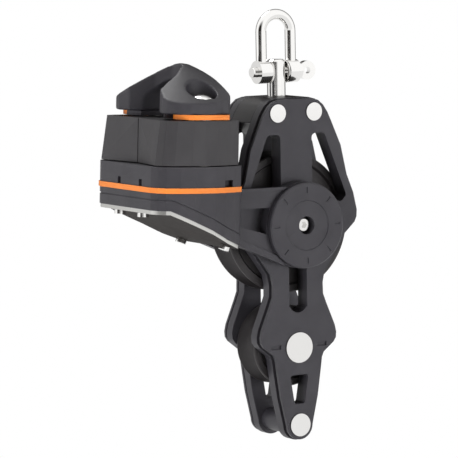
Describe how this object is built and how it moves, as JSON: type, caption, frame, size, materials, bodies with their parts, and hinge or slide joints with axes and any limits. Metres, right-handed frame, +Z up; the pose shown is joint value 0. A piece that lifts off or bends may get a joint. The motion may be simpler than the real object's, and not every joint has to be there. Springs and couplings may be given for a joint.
{
  "type": "fiddle block",
  "caption": "Fiddle block for rope: two sheaves in line between moulded cheeks, a swivel bow shackle, a becket pin and a cam cleat on an adjustable arm.",
  "frame": {"origin": "inner crown of the shackle bow, where the block hangs", "axes": "+Z up along the block, Y along the sheave axles, the cleat arm reaches to -X"},
  "size_m": [0.0972, 0.0562, 0.1689],
  "materials": {
    "shell_plastic": "satin",
    "sheave_plastic": "satin",
    "polished_stainless": "polished",
    "brushed_stainless": "brushed",
    "orange_plastic": "satin",
    "white_acetal": "gloss"
  },
  "bodies": {
    "shackle": {"shackle_bow": "polished_stainless", "shackle_pin": "polished_stainless", "pin_washers": "polished_stainless"},
    "swivel": {"swivel_post": "polished_stainless"},
    "block": {"front_cheek": "shell_plastic", "rear_cheek": "shell_plastic", "head_block": "sheave_plastic", "head_bolts": "polished_stainless", "main_axle": "brushed_stainless", "main_bearing_hub": "sheave_plastic", "lower_axle": "polished_stainless", "lower_bush": "sheave_plastic", "becket_pin": "polished_stainless", "becket_spacer": "shell_plastic", "front_dial": "shell_plastic", "rear_dial": "shell_plastic", "dial_screws": "polished_stainless"},
    "main_sheave": {"main_sheave": "sheave_plastic", "bearing_balls": "brushed_stainless", "bearing_cage": "white_acetal"},
    "lower_sheave": {"lower_sheave": "sheave_plastic"},
    "cleat_arm": {"front_arm": "shell_plastic", "rear_arm": "shell_plastic", "base_lower": "shell_plastic", "trim_band": "orange_plastic", "base_upper": "shell_plastic", "backing_plate": "brushed_stainless", "plate_screws": "polished_stainless", "cam_bushes": "brushed_stainless", "cleat_screws": "polished_stainless", "cleat_nuts": "brushed_stainless", "cam_washers": "orange_plastic", "fairlead": "shell_plastic", "cam_springs": "brushed_stainless"},
    "cam_front": {"front_cam": "sheave_plastic"},
    "cam_rear": {"rear_cam": "sheave_plastic"}
  },
  "joints": [
    {"name": "shackle_hinge", "type": "hinge", "parent": "shackle", "child": "swivel", "pos_m": [0, 0, -0.0203], "axis": [1, 0, 0], "range_deg": [-90, 90]},
    {"name": "swivel_spin", "type": "hinge", "parent": "swivel", "child": "block", "pos_m": [0, 0, -0.0332], "axis": [0, 0, 1], "continuous": true},
    {"name": "main_sheave_spin", "type": "hinge", "parent": "block", "child": "main_sheave", "pos_m": [0, 0, -0.0793], "axis": [0, 1, 0], "continuous": true},
    {"name": "lower_sheave_spin", "type": "hinge", "parent": "block", "child": "lower_sheave", "pos_m": [0, 0, -0.1279], "axis": [0, 1, 0], "continuous": true},
    {"name": "arm_tilt", "type": "hinge", "parent": "block", "child": "cleat_arm", "pos_m": [0, 0, -0.0793], "axis": [0, 1, 0], "range_deg": [-45, 8]},
    {"name": "front_cam_open", "type": "hinge", "parent": "cleat_arm", "child": "cam_front", "pos_m": [-0.04616, -0.019, -0.04515], "axis": [0.0436, 0, 0.999], "range_deg": [0, 40], "stiffness_Nm_per_rad": 0.02, "springref_deg": -28.65},
    {"name": "rear_cam_open", "type": "hinge", "parent": "cleat_arm", "child": "cam_rear", "pos_m": [-0.04616, 0.019, -0.04515], "axis": [0.0436, 0, 0.999], "range_deg": [-40, 0], "stiffness_Nm_per_rad": 0.02, "springref_deg": 28.65}
  ]
}
